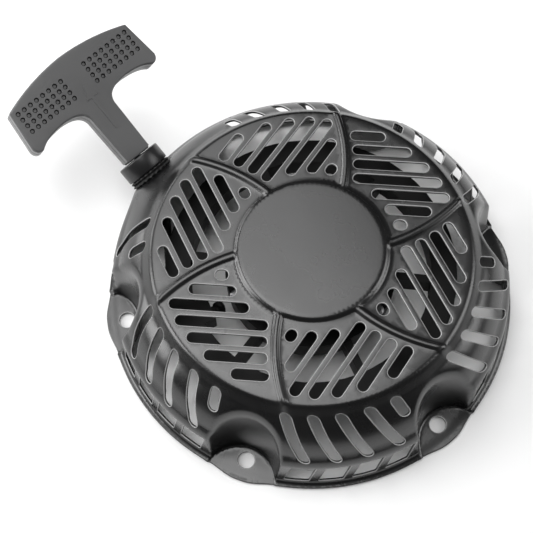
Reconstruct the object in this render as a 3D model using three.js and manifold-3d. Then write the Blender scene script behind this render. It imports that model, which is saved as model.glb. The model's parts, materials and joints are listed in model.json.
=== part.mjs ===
// Recoil starter for a single-cylinder engine: a pressed steel cover with a rope reel,
// a mainspring, a pawl clutch and a pull handle inside and beside it.
// Millimetres. The origin is on the crankshaft axis in the mounting plane, +Z points away
// from the engine and the rope leaves the cover on the +Y side.
import * as THREE from 'three';
import Module from 'manifold-3d';
import { mergeVertices } from 'three/addons/utils/BufferGeometryUtils.js';
import { ConvexGeometry } from 'three/addons/geometries/ConvexGeometry.js';

const wasm = await Module();
wasm.setup();

// ---------- driving dimensions ----------
const gap = 0.3;                 // clearance between pieces that touch
const running = 0.4;             // radial clearance of a turning piece

// cover
const flangeRadius = 115;
const sheet = 1.6;               // steel thickness
const wallRadius = 111.6;        // foot of the outer wall
const wallTopHeight = 26;        // where the wall turns into the shoulder
const wallLean = 1.8;            // how far the wall leans in over its height
const shoulderHeight = 30.5;
const foldRadius = 85;           // edge of the top tier
const padRadius = 39.5;
const padHeight = 57;
const panelDrop = 2;             // the slotted panels lie this far under the pad

// mounting ears
const earAngles = [30, 150, 210, 270, 330];
const boltCircle = 105.7;
const boltHoleRadius = 4.5;
const earTipRadius = 11.5;       // rounded ear beyond the flange
const pocketCentre = 118;        // the recess above an ear is a cone about this radius
const pocketFloorRadius = 20.5;
const pocketTopRadius = 29.6;

// ribs and slots of the top tier
const ribCount = 6;
const ribStartAngle = 85;
const ribSweep = 0.345;          // degrees turned per millimetre of radius
const ribWidth = 4.4;
const ribRise = 1.1;
const slotWidth = 5.8;
const slotPitch = 8.9;
const slotLean = -39.7;          // slot direction against the panel's centre line
const firstSlotOffset = 17.7;
const slotsPerPanel = 7;
const slotOuterRadius = 78.8;    // centre of a slot's outer end
const slotInnerRadius = 48.6;
const slotRibMargin = 7.6;       // slot end centre to rib centre line

// slots of the lower tier, and windows of the outer wall, counted in degrees from the
// middle between two ears
const skirtSlotTops = [-19.4, -10.6, -1.7, 7.7];
const skirtSlotTurn = 6;         // degrees that a slot turns on its way down
const skirtSlotTop = 0.12;       // place along the slope, 0 at the fold and 1 at the shoulder
const skirtSlotFoot = 0.97;
const smallSlotTop = 16.8;
const smallSlotTurn = 4.4;
const smallSlotFoot = 0.36;
const skirtSlotWidth = 5.8;
const windowAngles = [-14, -4.5, 4.8, 14.3];
const windowWidth = 13;
const windowLow = 4;
const windowHigh = 24.5;

// rope
const ropeRadius = 2.5;
const ropeHeight = 26;           // middle of the reel's groove
const ropeBore = 0.7;            // clearance round the rope in the guide and the handle
const pullHeading = 4.1;         // the rope leaves this many degrees to the left of +Y
const pullTilt = 28;             // and rises by this angle

// rope outlet; lengths along the rope count from the middle of the outlet's face
const outletPlace = [-30.3, 102.4, 30.5];
const outletSeatRadius = 14.2;
const outletHoleRadius = 9.4;
const outletAngles = [125, 90];  // where the outlet's roof meets the tier's edge
const outletFlankAngles = [136, 84];
const guideHeadRadius = 13.2;
const guideHeadLength = 9.8;
const sealLength = 3.2;
const guideNeckLength = 7;

// reel
const reelOuterRadius = 80;
const grooveRadius = 69;
const rimInnerRadius = 66;
const grooveHalfWidth = 5;
const reelFlange = 1.4;
const hubRadius = 47;
const hubWall = 5;
const hubTubeRadius = 13;
const reelFloor = 2.2;
const spokeCount = 6;
const spokeAngle = 13;
const spokeThickness = 4.4;
const anchorAngle = 163;         // where the rope's inner end is tied

// centre post
const postRadius = 9;
const postShoulderRadius = 14;
const postFlangeRadius = 22;
const postEndHeight = 14.6;
const screwRadius = 3.4;
const screwHeadRadius = 7;
const screwHeadHeight = 4.6;

// mainspring
const springStrip = 0.9;
const springTurns = 5;
const springInnerRadius = 15.5;
const springOuterRadius = 40.2;
const springCoverThickness = 1.2;
const coverScrewAngles = [43, 163, 283];

// pawls and their guide plate
const pawlPinCircle = 26;
const pawlPinRadius = 2.4;
const pawlPinAngles = [60, 240];
const pawlThickness = 4;
const pawlLength = 17;
const guidePlateRadius = 17;
const guidePlateThickness = 1.6;

// handle
const handleThickness = 16;
const stemHalfWidth = 7.8;
const stemLength = 31.5;
const armLow = 39.4;             // underside of the arms, from the stem's end
const gripHalfWidth = 41.9;
const gripFlare = 2.9;           // the grip is wider by this much at its lower corners
const gripCrown = 69.3;          // stem end to the top of the grip
const gripEndLow = 38.6;
const gripEndHigh = 61.4;
const handleEdge = 1.6;          // bevel round the handle's outline
const knotRadius = 4.2;
const retainerThickness = 1.6;

// ---------- derived sizes ----------
const foldHeight = padHeight - panelDrop;
const reelTop = ropeHeight + grooveHalfWidth + reelFlange;
const reelBottom = ropeHeight - grooveHalfWidth - reelFlange;
const wallTopRadius = wallRadius - wallLean;
const padUnderside = padHeight - sheet;
const sealStart = gap;
const guideStart = sealStart + sealLength + gap;
const handleStart = guideStart + guideHeadLength + gap;
const radian = Math.PI / 180;

// ---------- materials ----------
const finish = (color, roughness, metalness) =>
  new THREE.MeshStandardMaterial({ color, roughness, metalness });
const paintedSteel = finish(0x1c1c1d, 0.42, 0.3);
const zincSteel = finish(0x9a9b9d, 0.35, 0.9);
const springSteel = finish(0x4b4d52, 0.4, 0.9);
const blackPlastic = finish(0x232324, 0.55, 0);
const gripPlastic = finish(0x2b2b2c, 0.5, 0);
const reelPlastic = finish(0x161617, 0.5, 0);
const sealRubber = finish(0x0d0d0d, 0.8, 0);
const ropeBraid = finish(0x191919, 0.9, 0);

// ---------- solids ----------
function solid(geometry) {
  const plain = geometry.clone();
  plain.deleteAttribute('normal');
  plain.deleteAttribute('uv');
  const merged = mergeVertices(plain, 1e-4);
  const vertProperties = new Float32Array(merged.attributes.position.array);
  const triVerts = new Uint32Array(merged.index.array);
  return new wasm.Manifold(new wasm.Mesh({ numProp: 3, vertProperties, triVerts }));
}

function geometryOf(manifold) {
  const { vertProperties, triVerts } = manifold.getMesh();
  const geometry = new THREE.BufferGeometry();
  geometry.setAttribute('position', new THREE.BufferAttribute(vertProperties, 3));
  geometry.setIndex(new THREE.BufferAttribute(triVerts, 1));
  return geometry;
}

// a solid of revolution about Z; the outline runs from low to high along its outside
function turned(outline, segments = 32) {
  const points = outline.map(([r, z]) => new THREE.Vector2(r, z));
  return new THREE.LatheGeometry(points, segments).rotateX(Math.PI / 2);
}

// the rope's own axes at the outlet: right, along the rope, and up from it
const ropeAxes = new THREE.Matrix4().makeTranslation(...outletPlace)
  .multiply(new THREE.Matrix4().makeRotationZ(pullHeading * radian))
  .multiply(new THREE.Matrix4().makeRotationX(pullTilt * radian));

function ropePoint(right, along, up) {
  return new THREE.Vector3(right, along, up).applyMatrix4(ropeAxes);
}

// a solid of revolution about the rope's line, with its outline's heights along the rope
function turnedAlongRope(outline, segments = 24) {
  const points = outline.map(([r, y]) => new THREE.Vector2(r, y));
  return new THREE.LatheGeometry(points, segments).applyMatrix4(ropeAxes);
}

function rod(radius, low, high, segments = 20) {
  return turned([[0, low], [radius, low], [radius, high], [0, high]], segments);
}

function ring(inner, outer, low, high, segments = 32) {
  const outline = [[inner, low], [outer, low], [outer, high], [inner, high], [inner, low]];
  return turned(outline, segments);
}

function prism(shape, low, high, curveSegments = 6) {
  const depth = high - low;
  const options = { depth, bevelEnabled: false, curveSegments };
  return new THREE.ExtrudeGeometry(shape, options).translate(0, 0, low);
}

function capsule(length, width) {
  const shape = new THREE.Shape();
  shape.absarc(length / 2, 0, width / 2, -Math.PI / 2, Math.PI / 2);
  shape.absarc(-length / 2, 0, width / 2, Math.PI / 2, Math.PI * 1.5);
  return shape;
}

function polar(radius, angle, height = 0) {
  const a = angle * radian;
  return new THREE.Vector3(radius * Math.cos(a), radius * Math.sin(a), height);
}

function turnAbout(geometry, angle) {
  return geometry.rotateZ(angle * radian);
}

function subtractAll(body, cutters) {
  return cutters.reduce((left, cutter) => left.subtract(solid(cutter)), body);
}

function addAll(body, pieces) {
  return pieces.reduce((left, piece) => left.add(solid(piece)), body);
}

// ---------- cover ----------
// outside of the cover from the middle of the pad out to the lip, without the pockets
const skirtTop = [foldRadius + 3.6, foldHeight - 4.6];
const skirtFoot = [wallTopRadius - 3.4, shoulderHeight];

// the lower tier bulges a little between the fold and the shoulder
function skirtPoint(place) {
  const bulge = 2.6 * Math.sin(Math.PI * place);
  const r = THREE.MathUtils.lerp(skirtTop[0], skirtFoot[0], place) + 0.7 * bulge;
  const z = THREE.MathUtils.lerp(skirtTop[1], skirtFoot[1], place) + 0.7 * bulge;
  return [r, z];
}

const coverSection = [
  [0, padHeight],
  [padRadius - 1, padHeight],
  [padRadius + 1.6, foldHeight],
  [foldRadius - 1, foldHeight],
  [foldRadius + 1.6, foldHeight - 1.8],
  ...[0, 0.5, 1].map(skirtPoint),
  [wallTopRadius - 0.8, wallTopHeight + 2.2],
  [wallTopRadius, wallTopHeight],
  [wallRadius, 3],
];

// moves a section line to its inner side by the sheet's thickness
function innerSection(section, thickness) {
  return section.map(([r, z], i) => {
    const before = section[Math.max(i - 1, 0)];
    const after = section[Math.min(i + 1, section.length - 1)];
    const run = Math.hypot(after[0] - before[0], after[1] - before[1]);
    const normalR = -(after[1] - before[1]) / run;
    const normalZ = (after[0] - before[0]) / run;
    return [i === 0 ? 0 : r - normalR * thickness, z - normalZ * thickness];
  });
}

function coverBody(section, footRadius, low, segments) {
  const outline = [[0, low], [footRadius, low], ...[...section].reverse()];
  return solid(turned(outline, segments));
}

// a cone-shaped recess over each ear, closed below by the ear plate
function pocket(angle, extra, low) {
  const high = padHeight + 4;
  const spread = (pocketTopRadius - pocketFloorRadius) / foldHeight;
  const foot = pocketFloorRadius + spread * low + extra;
  const top = pocketFloorRadius + spread * high + extra;
  const cone = turned([[0, low], [foot, low], [top, high], [0, high]], 18);
  const place = polar(pocketCentre, angle);
  return cone.translate(place.x, place.y, 0);
}

// the raised outlet that carries the rope guide, as a hull drawn in by the given inset
function outletHull(inset, low) {
  const seat = Array.from({ length: 12 }, (_, i) => {
    const a = (Math.PI * 2 * i) / 12;
    const r = outletSeatRadius - inset;
    return ropePoint(r * Math.cos(a), -inset, r * Math.sin(a));
  });
  const [left, right] = outletFlankAngles;
  const flank = wallTopHeight - inset;
  const roof = skirtTop[1] - inset;
  const foot = wallRadius - inset;
  const corners = [
    ...outletAngles.map((angle) => polar(skirtTop[0] - inset, angle, roof)),
    polar(wallTopRadius - inset, left, low), polar(wallTopRadius - inset, left, flank),
    polar(wallTopRadius - inset - 3, right, low), polar(wallTopRadius - inset - 3, right, flank),
    polar(foot, 112, low), polar(foot, 99, low), polar(40, 110, low), polar(60, 110, roof),
  ];
  return new ConvexGeometry([...seat, ...corners]);
}

// room in front of the outlet's face, where the shoulder would stand proud of it
function outletFlat(inset) {
  const radius = outletSeatRadius + inset;
  return turnedAlongRope([[0, -inset], [radius, -inset], [radius, 14], [0, 14]]);
}

function ribAngle(k, radius) {
  return ribStartAngle - (360 / ribCount) * k + ribSweep * (radius - padRadius - 4);
}

function rib(k) {
  const radii = [padRadius, padRadius + 10, padRadius + 20, padRadius + 31, foldRadius - 3];
  const side = (sign) => radii.map((radius) => {
    const half = (ribWidth / 2 / radius) / radian;
    return polar(radius, ribAngle(k, radius) + sign * half);
  });
  const outline = [...side(-1), ...side(1).reverse()];
  const shape = new THREE.Shape(outline.map((p) => new THREE.Vector2(p.x, p.y)));
  return prism(shape, foldHeight - sheet * 0.6, foldHeight + ribRise);
}

// one slot line of a panel is kept where it clears the pad, the fold and both ribs
function slotSpan(offset) {
  const along = new THREE.Vector2(Math.cos(slotLean * radian), Math.sin(slotLean * radian));
  const across = new THREE.Vector2(-along.y, along.x);
  const clear = (t) => {
    const x = along.x * t + across.x * offset;
    const y = along.y * t + across.y * offset;
    const radius = Math.hypot(x, y);
    const angle = Math.atan2(y, x) / radian + ribStartAngle - 180 / ribCount;
    const upper = (ribAngle(0, radius) - angle) * radian * radius;
    const lower = (angle - ribAngle(1, radius)) * radian * radius;
    const inside = radius > slotInnerRadius && radius < slotOuterRadius;
    return inside && Math.min(upper, lower) > slotRibMargin;
  };
  const places = [];
  for (let t = -foldRadius; t < foldRadius; t += 0.5) {
    if (clear(t)) places.push(t);
  }
  return { along, across, low: places[0], high: places[places.length - 1] };
}

function panelSlots() {
  const cutters = [];
  for (let i = 0; i < slotsPerPanel; i++) {
    const offset = firstSlotOffset + i * slotPitch;
    const { along, across, low, high } = slotSpan(offset);
    const middle = (low + high) / 2;
    const x = along.x * middle + across.x * offset;
    const y = along.y * middle + across.y * offset;
    for (let k = 0; k < ribCount; k++) {
      const panelAngle = ribStartAngle - 180 / ribCount - (360 / ribCount) * k;
      const cutter = prism(capsule(high - low, slotWidth), foldHeight - 6, padHeight + 3, 1);
      cutter.rotateZ(slotLean * radian).translate(x, y, 0);
      cutters.push(turnAbout(cutter, panelAngle));
    }
  }
  return cutters;
}

// a capsule cut square to the slope between two places on the lower tier
function skirtSlot(from, to, fromAngle, toAngle) {
  const [r1, z1] = skirtPoint(from);
  const [r2, z2] = skirtPoint(to);
  const start = polar(r1, fromAngle, z1);
  const end = polar(r2, toAngle, z2);
  const along = end.clone().sub(start);
  const length = along.length();
  along.normalize();
  const out = polar(1, (fromAngle + toAngle) / 2, 1).normalize();
  const across = out.clone().cross(along).normalize();
  const normal = along.clone().cross(across);
  const place = new THREE.Matrix4().makeBasis(along, across, normal);
  place.setPosition(start.add(end).multiplyScalar(0.5));
  return prism(capsule(length, skirtSlotWidth), -7, 7, 1).applyMatrix4(place);
}

const segmentMiddles = [0, 60, 120, 180, 240, 300];
const outletSegment = 120;

function segmentSlots(middle) {
  const besideOutlet = middle === outletSegment;
  const tops = besideOutlet ? skirtSlotTops.slice(3) : skirtSlotTops;
  const long = tops.map((top) => {
    const angle = middle + top;
    return skirtSlot(skirtSlotTop, skirtSlotFoot, angle, angle + skirtSlotTurn);
  });
  const angle = middle + smallSlotTop;
  return [...long, skirtSlot(skirtSlotTop, smallSlotFoot, angle, angle + smallSlotTurn)];
}

function segmentWindows(middle) {
  const angles = middle === outletSegment ? windowAngles.slice(3) : windowAngles;
  return angles.map((angle) => {
    const height = windowHigh - windowLow;
    const box = new THREE.BoxGeometry(16, windowWidth, height);
    box.translate(wallRadius, 0, windowLow + height / 2);
    return turnAbout(box, middle + angle);
  });
}

function coverSolid() {
  const segments = 45;
  const lip = [[flangeRadius, sheet], [wallRadius, sheet + 0.5]];
  const outside = coverBody([...coverSection, ...[...lip].reverse()], flangeRadius, 0, segments);
  const inside = innerSection(coverSection, sheet);
  const foot = inside[inside.length - 1][0];
  const hollow = coverBody([...inside, [foot, 1]], foot, -1, segments);

  const ears = earAngles.map((angle) => {
    const place = polar(boltCircle, angle);
    return rod(earTipRadius, 0, sheet, 18).translate(place.x, place.y, 0);
  });
  const outer = subtractAll(outside.add(solid(outletHull(0, 0))),
    [outletFlat(0), ...earAngles.map((angle) => pocket(angle, 0, sheet))]);
  const inner = subtractAll(hollow.add(solid(outletHull(sheet, -1))),
    [outletFlat(sheet), ...earAngles.map((angle) => pocket(angle, sheet, -2))]);

  const ribs = Array.from({ length: ribCount }, (_, k) => rib(k));
  const shell = addAll(outer.subtract(inner), [...ears, ...ribs]);
  const holes = earAngles.map((angle) => {
    const place = polar(boltCircle, angle);
    return rod(boltHoleRadius, -1, sheet + 1, 14).translate(place.x, place.y, 0);
  });
  const ropeHole = turnedAlongRope([[0, -8], [outletHoleRadius, -8],
    [outletHoleRadius, 4], [0, 4]]);
  return subtractAll(shell, [...holes, ropeHole, ...panelSlots(),
    ...segmentMiddles.flatMap(segmentSlots), ...segmentMiddles.flatMap(segmentWindows)]);
}

// ---------- rope outlet ----------
function ropeGuide() {
  const bore = ropeRadius + ropeBore;
  const neck = outletHoleRadius - gap;
  const neckEnd = -guideNeckLength;
  return turnedAlongRope([
    [bore + 2, neckEnd], [neck, neckEnd], [neck, guideStart],
    [guideHeadRadius, guideStart], [guideHeadRadius, guideStart + guideHeadLength - 1],
    [guideHeadRadius - 1, guideStart + guideHeadLength],
    [bore + 1, guideStart + guideHeadLength], [bore, guideStart + guideHeadLength - 1.5],
    [bore, neckEnd + 2.5], [bore + 2, neckEnd],
  ]);
}

function guideSeal() {
  const inner = outletHoleRadius + 0.2;
  const outer = guideHeadRadius - 1.2;
  return turnedAlongRope([
    [inner, sealStart], [outer, sealStart], [outer - 0.8, sealStart + sealLength / 2],
    [outer, sealStart + sealLength], [inner, sealStart + sealLength], [inner, sealStart],
  ]);
}

// the spring clip that keeps the guide's neck inside the outlet, open at its lower side
function guideClip() {
  const y = -sheet - gap - 1.2;
  const inner = outletHoleRadius + 0.1;
  const outer = inner + 1.7;
  const outline = [[inner, y], [outer, y], [outer, y + 1.2], [inner, y + 1.2], [inner, y]];
  const slit = new THREE.BoxGeometry(7, 4, 9).translate(0, y, -inner - 1.2);
  slit.applyMatrix4(ropeAxes);
  return geometryOf(solid(turnedAlongRope(outline)).subtract(solid(slit)));
}

// ---------- centre post and screw ----------
const shoulderStart = reelTop + 3.4;

function centrePost() {
  const boreTop = postEndHeight + 18;
  const bore = screwRadius + gap;
  const top = padUnderside - gap;
  return turned([
    [bore, postEndHeight], [postRadius, postEndHeight], [postRadius, shoulderStart],
    [postShoulderRadius, shoulderStart], [postShoulderRadius, top - 5],
    [postFlangeRadius, top - 2], [postFlangeRadius, top], [0, top], [0, boreTop],
    [bore, boreTop - 2], [bore, postEndHeight],
  ]);
}

const plateTop = postEndHeight - gap;
const plateLow = plateTop - guidePlateThickness;
const washerLow = plateLow - gap - 1;
const springLow = washerLow - gap - 1.4;
const headTop = springLow - gap;

function centreScrew() {
  const headLow = headTop - screwHeadHeight;
  const hexagon = turned([[0, headLow], [screwHeadRadius, headLow],
    [screwHeadRadius, headTop - 1], [0, headTop - 1]], 6);
  const flange = rod(screwHeadRadius + 1.6, headTop - 1.4, headTop, 32);
  const shank = rod(screwRadius, headTop - 1, postEndHeight + 14, 24);
  return geometryOf(addAll(solid(hexagon), [flange, shank]));
}

// ---------- reel ----------
function reelSolid() {
  const low = reelBottom;
  const tube = postRadius + running;
  const hubTop = reelTop + 0.2;
  const hub = turned([
    [tube, low], [hubRadius, low], [hubRadius, hubTop], [hubRadius - hubWall, hubTop],
    [hubRadius - hubWall, low + reelFloor], [hubTubeRadius, low + reelFloor],
    [hubTubeRadius, reelTop + 1.2], [tube, reelTop + 1.2], [tube, low],
  ], 44);
  const grooveLow = ropeHeight - grooveHalfWidth;
  const grooveHigh = ropeHeight + grooveHalfWidth;
  const rim = turned([
    [rimInnerRadius, low], [reelOuterRadius, low], [reelOuterRadius, low + 0.8],
    [grooveRadius + 2, grooveLow], [grooveRadius, grooveLow + 0.6],
    [grooveRadius, grooveHigh - 0.6], [grooveRadius + 2, grooveHigh],
    [reelOuterRadius, reelTop - 0.8], [reelOuterRadius, reelTop], [rimInnerRadius, reelTop],
    [rimInnerRadius, low],
  ], 56);
  const spokes = Array.from({ length: spokeCount }, (_, k) => {
    const length = rimInnerRadius - hubRadius + 2;
    const bar = new THREE.BoxGeometry(length, spokeThickness, reelTop - low - 0.4);
    bar.translate(hubRadius - 1 + length / 2, 0, (reelTop + low) / 2);
    return turnAbout(bar, spokeAngle + (360 / spokeCount) * k);
  });
  const anchorBoss = new THREE.BoxGeometry(8, 14, reelTop - low - 1);
  anchorBoss.translate(rimInnerRadius - 3, 0, (reelTop + low) / 2);
  turnAbout(anchorBoss, anchorAngle);
  const body = addAll(solid(hub), [rim, ...spokes, anchorBoss]);
  const anchorHole = alongX(ropeRadius + 0.4, rimInnerRadius - 10, grooveRadius + 2, 16);
  const pinHoles = pawlPinAngles.map((angle) => {
    const place = polar(pawlPinCircle, angle);
    return rod(pawlPinRadius + gap, low - 1, low + reelFloor + 1, 20)
      .translate(place.x, place.y, 0);
  });
  return subtractAll(body, [anchorHole, ...pinHoles, ...coverScrewPlaces(
    () => rod(1.8, reelTop - 8, reelTop + 2, 12))]);
}

// a round bar out along the anchor's radius, at the height of the groove
function alongX(radius, from, to, segments = 16) {
  const bar = rod(radius, from, to, segments).rotateY(Math.PI / 2);
  return turnAbout(bar.translate(0, 0, ropeHeight), anchorAngle);
}

function coverScrewPlaces(make) {
  return coverScrewAngles.map((angle) => {
    const place = polar(hubRadius - hubWall / 2, angle);
    return make().translate(place.x, place.y, 0);
  });
}

const springCoverLow = reelTop + 0.2 + gap;

function springCover() {
  const high = springCoverLow + springCoverThickness;
  const plate = ring(hubTubeRadius + 4, hubRadius, springCoverLow, high, 44);
  return geometryOf(subtractAll(solid(plate), coverScrewPlaces(
    () => rod(1.8, springCoverLow - 1, high + 1, 12))));
}

function coverScrews() {
  const seat = springCoverLow + springCoverThickness + gap;
  return coverScrewPlaces(() => turned([[0, reelTop - 6.5], [1.5, reelTop - 6.5],
    [1.5, seat], [3, seat], [3, seat + 1], [2, seat + 1.7], [0, seat + 1.7]], 12));
}

// a flat strip wound from the post side out to the hub wall
function mainspring() {
  const steps = springTurns * 14;
  const growth = (springOuterRadius - springInnerRadius) / steps;
  const side = (offset) => Array.from({ length: steps + 1 }, (_, i) => {
    const p = polar(springInnerRadius + growth * i + offset, -springTurns * 360 * (i / steps));
    return new THREE.Vector2(p.x, p.y);
  });
  const shape = new THREE.Shape([...side(0), ...side(springStrip).reverse()]);
  return prism(shape, reelBottom + reelFloor + gap, reelTop - 0.6);
}

// the wound turns of rope as one ring in the groove
function ropeWinding() {
  const low = ropeHeight - grooveHalfWidth + 0.7;
  const high = ropeHeight + grooveHalfWidth - 0.7;
  const inner = grooveRadius + gap;
  const outer = reelOuterRadius - 2 * ropeRadius - 0.6;
  return turned([[inner, low + 0.8], [outer - 1, low + 0.8], [outer, low + 2],
    [outer, high - 2], [outer - 1, high - 0.8], [inner, high - 0.8], [inner, low + 0.8]], 44);
}

// the knot inside the rim and the end of rope that comes through to the groove
function ropeAnchor() {
  const centre = rimInnerRadius - 7 - knotRadius - gap;
  const knot = new THREE.SphereGeometry(knotRadius, 12, 8);
  const place = polar(centre, anchorAngle);
  knot.translate(place.x, place.y, ropeHeight);
  const tail = alongX(ropeRadius, centre, grooveRadius - gap);
  return geometryOf(solid(knot).add(solid(tail)));
}

// ---------- pawl clutch ----------
function pawlPin(angle) {
  const place = polar(pawlPinCircle, angle);
  const low = pawlLow - 1.2;
  const top = reelBottom + reelFloor - 0.2;
  return turned([[0, low], [pawlPinRadius + 1.4, low], [pawlPinRadius + 1.4, low + 0.8],
    [pawlPinRadius, low + 0.8], [pawlPinRadius, top], [0, top]], 24)
    .translate(place.x, place.y, 0);
}

const pawlHigh = reelBottom - gap - 0.2;
const pawlLow = pawlHigh - pawlThickness;

// a pawl lies along the reel's turning direction and swings out about its pin
function pawl(angle) {
  const shape = new THREE.Shape();
  shape.moveTo(0, -5);
  shape.lineTo(5, -5);
  shape.absarc(0, 0, 5, 0, Math.PI, false);
  shape.lineTo(-5, -pawlLength + 3);
  shape.lineTo(-1.5, -pawlLength);
  shape.lineTo(2.2, -pawlLength + 1.2);
  shape.lineTo(3.6, -8);
  shape.closePath();
  const eye = new THREE.Path();
  eye.absarc(0, 0, pawlPinRadius + running, 0, Math.PI * 2, true);
  shape.holes.push(eye);
  const place = polar(pawlPinCircle, angle);
  return prism(shape, pawlLow, pawlHigh, 12).rotateZ(angle * radian)
    .translate(place.x, place.y, 0);
}

// a light wire hook that draws the pawl back in
function pawlSpring(angle) {
  const reach = pawlPinRadius + 3.6;
  const height = pawlLow - 0.9;
  const route = new THREE.CatmullRomCurve3([
    new THREE.Vector3(-2, -11, height), new THREE.Vector3(-reach + 1, -4, height),
    new THREE.Vector3(-reach + 0.5, 2, height), new THREE.Vector3(0, reach - 1, height),
    new THREE.Vector3(reach - 0.6, 2, height), new THREE.Vector3(reach + 3, -3, height),
  ]);
  const place = polar(pawlPinCircle, angle);
  return wire(route, 0.45, 16, 3).rotateZ(angle * radian).translate(place.x, place.y, 0);
}

// a round wire or rope along a route; its section has twice as many sides as curveSegments
function wire(route, radius, steps, curveSegments) {
  const section = new THREE.Shape();
  section.absarc(0, 0, radius, 0, Math.PI * 2);
  const options = { steps, extrudePath: route, curveSegments, bevelEnabled: false };
  return new THREE.ExtrudeGeometry(section, options);
}

// the plate that stays behind when the reel starts to turn, and so pushes the pawls out
function ratchetGuide() {
  const shape = new THREE.Shape();
  shape.absarc(0, 0, guidePlateRadius, 0, Math.PI * 2);
  const arms = pawlPinAngles.map((angle) => {
    const arm = new THREE.BoxGeometry(10, 6, guidePlateThickness);
    arm.translate(guidePlateRadius + 2, 0, (plateTop + plateLow) / 2);
    return turnAbout(arm, angle - 52);
  });
  const tabs = pawlPinAngles.map((angle) => {
    const tab = new THREE.BoxGeometry(1.6, 5, pawlHigh - plateTop + 0.4);
    tab.translate(guidePlateRadius + 4.5, 0, (pawlHigh + plateTop) / 2);
    return turnAbout(tab, angle - 52);
  });
  const plate = addAll(solid(prism(shape, plateLow, plateTop, 20)), [...arms, ...tabs]);
  const centre = rod(screwRadius + 2 * gap, plateLow - 1, plateTop + 1, 24);
  const reliefs = [0, 180].map((angle) => turnAbout(
    prism(capsule(8, 5), plateLow - 1, plateTop + 1, 5).translate(10.5, 0, 0), angle + 95));
  return geometryOf(subtractAll(plate, [centre, ...reliefs]));
}

function frictionSpring() {
  const inner = screwRadius + 2 * gap;
  return turned([[inner + 1, springLow], [inner + 2.2, springLow], [inner + 4.6, springLow + 1],
    [inner + 4.6, springLow + 1.4], [inner + 3.4, springLow + 1.4], [inner + 1, springLow + 0.4],
    [inner + 1, springLow]], 32);
}

// ---------- handle ----------
function handleOutline() {
  const shape = new THREE.Shape();
  const stem = stemHalfWidth;
  const neck = stem + 0.6;
  const end = gripHalfWidth;
  const flare = end + gripFlare;
  shape.moveTo(-stem, 0);
  shape.lineTo(stem, 0);
  shape.lineTo(neck, stemLength);
  shape.bezierCurveTo(neck + 0.6, stemLength + 4.5, neck + 4, armLow - 0.3, neck + 14, armLow);
  shape.quadraticCurveTo(end - 7, armLow - 0.4, flare - 5.2, armLow - 4.4);
  shape.quadraticCurveTo(flare - 1, armLow - 5.4, flare, gripEndLow);
  shape.lineTo(end, gripEndHigh);
  shape.quadraticCurveTo(end / 2, gripCrown - 0.4, 0, gripCrown);
  shape.quadraticCurveTo(-end / 2, gripCrown - 0.4, -end, gripEndHigh);
  shape.lineTo(-flare, gripEndLow);
  shape.quadraticCurveTo(-flare + 1, armLow - 5.4, -flare + 5.2, armLow - 4.4);
  shape.quadraticCurveTo(-end + 7, armLow - 0.4, -neck - 14, armLow);
  shape.bezierCurveTo(-neck - 4, armLow - 0.3, -neck - 0.6, stemLength + 4.5,
    -neck, stemLength);
  shape.closePath();
  return shape;
}

const retainerPlace = gripCrown - 16;    // seat of the retainer, from the stem's end

function handleGrip() {
  const depth = handleThickness - 2 * handleEdge;
  const body = new THREE.ExtrudeGeometry(handleOutline(), {
    depth, curveSegments: 8, bevelEnabled: true, bevelSegments: 1,
    bevelThickness: handleEdge, bevelSize: handleEdge, bevelOffset: -handleEdge,
  });
  body.translate(0, handleStart, -depth / 2).applyMatrix4(ropeAxes);
  const seat = handleStart + retainerPlace;
  const bore = ropeRadius + ropeBore;
  const passage = turnedAlongRope([[0, handleStart - 1], [bore, handleStart - 1], [bore, seat],
    [knotRadius + 1, seat], [knotRadius + 1, handleStart + gripCrown + 2],
    [0, handleStart + gripCrown + 2]], 20);
  return geometryOf(solid(body).subtract(solid(passage)));
}

function handleRetainer() {
  const seat = handleStart + retainerPlace + gap;
  const bore = ropeRadius + gap;
  const outer = knotRadius + 1 - gap;
  return turnedAlongRope([[bore, seat], [outer, seat], [outer, seat + retainerThickness],
    [bore, seat + retainerThickness], [bore, seat]], 24);
}

function handleKnot() {
  const y = handleStart + retainerPlace + retainerThickness + 2 * gap + knotRadius;
  return new THREE.SphereGeometry(knotRadius, 12, 8).translate(0, y, 0).applyMatrix4(ropeAxes);
}

// the taut run of rope from the reel, round the guide's mouth and up to the handle's knot
function ropeRoute() {
  const runRadius = reelOuterRadius - ropeRadius - 0.2;
  const bendDepth = (outletPlace[2] - ropeHeight) / Math.sin(pullTilt * radian);
  const bend = ropePoint(0, -bendDepth, 0);
  const bendAngle = Math.atan2(bend.y, bend.x);
  const tangentAngle = bendAngle + Math.acos(runRadius / Math.hypot(bend.x, bend.y));
  const leave = polar(runRadius, tangentAngle / radian, ropeHeight);
  const run = bend.clone().sub(leave).normalize();
  const route = new THREE.CurvePath();
  const bendStart = bend.clone().addScaledVector(run, -5);
  const bendEnd = ropePoint(0, 5 - bendDepth, 0);
  const end = ropePoint(0, handleStart + retainerPlace + retainerThickness + gap, 0);
  route.add(new THREE.LineCurve3(leave, bendStart));
  route.add(new THREE.QuadraticBezierCurve3(bendStart, bend, bendEnd));
  route.add(new THREE.LineCurve3(bendEnd, end));
  return route;
}

// ---------- assembly ----------
const starter = new THREE.Group();

function place(name, shape, material, parent = starter) {
  const geometry = shape.isBufferGeometry ? shape : geometryOf(shape);
  const piece = new THREE.Mesh(geometry, material);
  piece.name = name;
  parent.add(piece);
  return piece;
}

const housing = new THREE.Group();
starter.add(housing);
place('cover', coverSolid(), paintedSteel, housing);
place('rope_guide', ropeGuide(), blackPlastic, housing);
place('guide_seal', guideSeal(), sealRubber, housing);
place('guide_clip', guideClip(), springSteel, housing);
place('centre_post', centrePost(), zincSteel, housing);
place('centre_screw', centreScrew(), zincSteel, housing);
place('thrust_washer', ring(postRadius + gap, postShoulderRadius, reelTop + 1.8, reelTop + 3),
  zincSteel, housing);

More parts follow.
